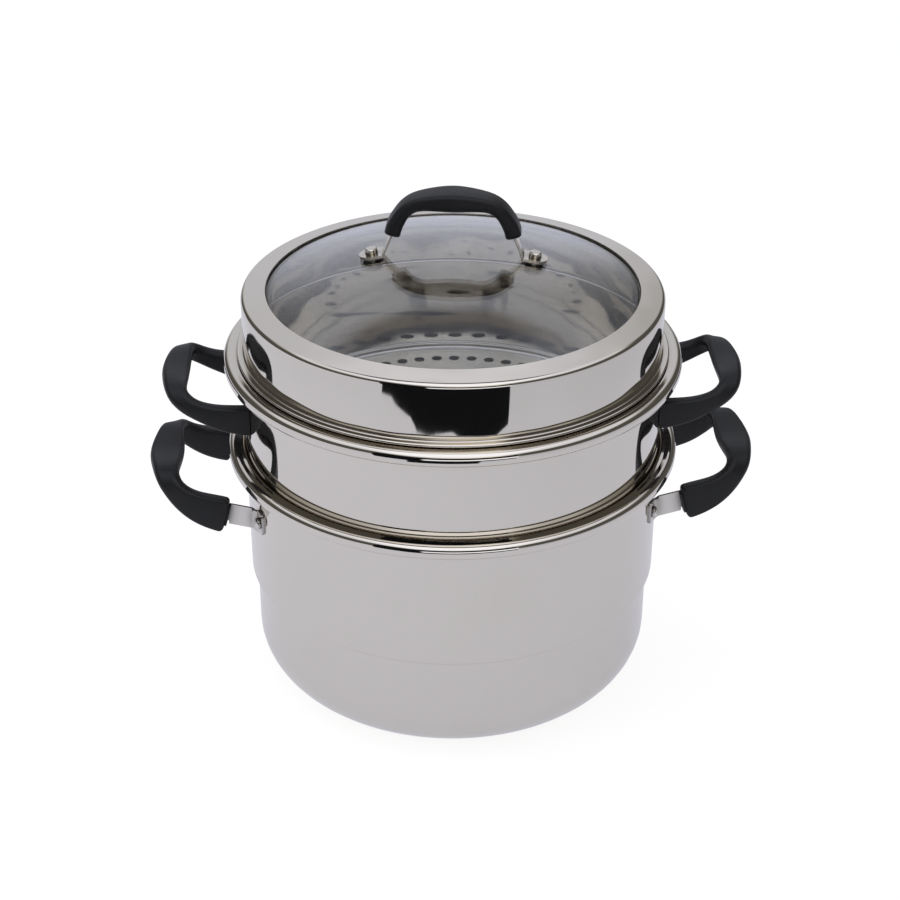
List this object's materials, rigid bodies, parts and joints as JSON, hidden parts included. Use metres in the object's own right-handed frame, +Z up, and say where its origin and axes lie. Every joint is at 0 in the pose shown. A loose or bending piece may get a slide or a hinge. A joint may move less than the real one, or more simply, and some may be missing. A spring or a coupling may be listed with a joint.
{
  "type": "steamer pot",
  "caption": "Stainless steel stockpot with a perforated steamer tier nested in its mouth and a domed glass lid with a deep steel skirt; dark moulded loop grips.",
  "frame": {"origin": "centre of the pot's standing ring, on the table", "axes": "+Z up through the lid's handle, +X towards one of the pot's two side grips"},
  "size_m": [0.3538, 0.2618, 0.3005],
  "materials": {
    "polished_steel": "polished",
    "fitting_steel": "satin",
    "grip_plastic": "satin",
    "lid_glass": "clear",
    "seal_rubber": "matte"
  },
  "bodies": {
    "pot": {"pot_body": "polished_steel", "pot_grip_left": "grip_plastic", "pot_grip_right": "grip_plastic", "pot_strap_left_front": "fitting_steel", "pot_strap_left_back": "fitting_steel", "pot_strap_right_front": "fitting_steel", "pot_strap_right_back": "fitting_steel", "pot_rivet_left_front": "fitting_steel", "pot_rivet_left_back": "fitting_steel", "pot_rivet_right_front": "fitting_steel", "pot_rivet_right_back": "fitting_steel"},
    "steamer": {"steamer_body": "polished_steel", "steamer_grip_left": "grip_plastic", "steamer_grip_right": "grip_plastic", "steamer_stud_left_front": "fitting_steel", "steamer_stud_left_back": "fitting_steel", "steamer_stud_right_front": "fitting_steel", "steamer_stud_right_back": "fitting_steel"},
    "lid": {"lid_band": "polished_steel", "lid_retainer": "fitting_steel", "lid_seal": "seal_rubber", "lid_glass": "lid_glass", "lid_grip": "grip_plastic", "lid_strap_left": "fitting_steel", "lid_strap_right": "fitting_steel", "lid_upper_washer_left": "fitting_steel", "lid_upper_washer_right": "fitting_steel", "lid_lower_washer_left": "fitting_steel", "lid_lower_washer_right": "fitting_steel", "lid_nut_left": "fitting_steel", "lid_nut_right": "fitting_steel", "lid_screw_left": "fitting_steel", "lid_screw_right": "fitting_steel"}
  },
  "joints": [
    {"name": "steamer_lift", "type": "slide", "parent": "pot", "child": "steamer", "axis": [0, 0, 1], "range_m": [0, 0.1]},
    {"name": "lid_lift", "type": "slide", "parent": "steamer", "child": "lid", "axis": [0, 0, 1], "range_m": [0, 0.12]}
  ]
}
